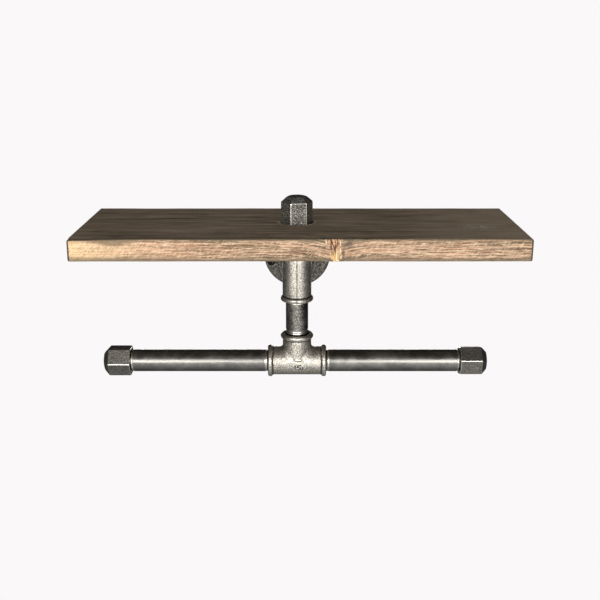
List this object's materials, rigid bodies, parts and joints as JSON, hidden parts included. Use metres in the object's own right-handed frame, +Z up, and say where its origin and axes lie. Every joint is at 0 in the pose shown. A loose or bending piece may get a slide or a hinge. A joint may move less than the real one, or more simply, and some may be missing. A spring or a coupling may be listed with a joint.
{
  "type": "pipe wall shelf",
  "caption": "Small wooden wall shelf on a screwed iron-pipe bracket, with a T-bar of two capped arms below it that hold rolls.",
  "frame": {"origin": "centre of the wall flange's back face, on the wall", "axes": "+X to the right along the shelf, +Y into the wall, +Z up"},
  "size_m": [0.4, 0.1505, 0.1773],
  "materials": {
    "stained_pine": "sanded and stained, satin",
    "cast_fitting": "bare cast skin, oiled",
    "steel_pipe": "bare welded tube, satin"
  },
  "bodies": {
    "root": {"shelf_board": "stained_pine", "wall_flange": "cast_fitting", "wall_nipple": "steel_pipe", "upper_tee": "cast_fitting", "shelf_nipple": "steel_pipe", "top_cap": "cast_fitting", "riser_nipple": "steel_pipe", "lower_tee": "cast_fitting", "left_arm_pipe": "steel_pipe", "right_arm_pipe": "steel_pipe", "left_cap": "cast_fitting", "right_cap": "cast_fitting"}
  },
  "joints": []
}
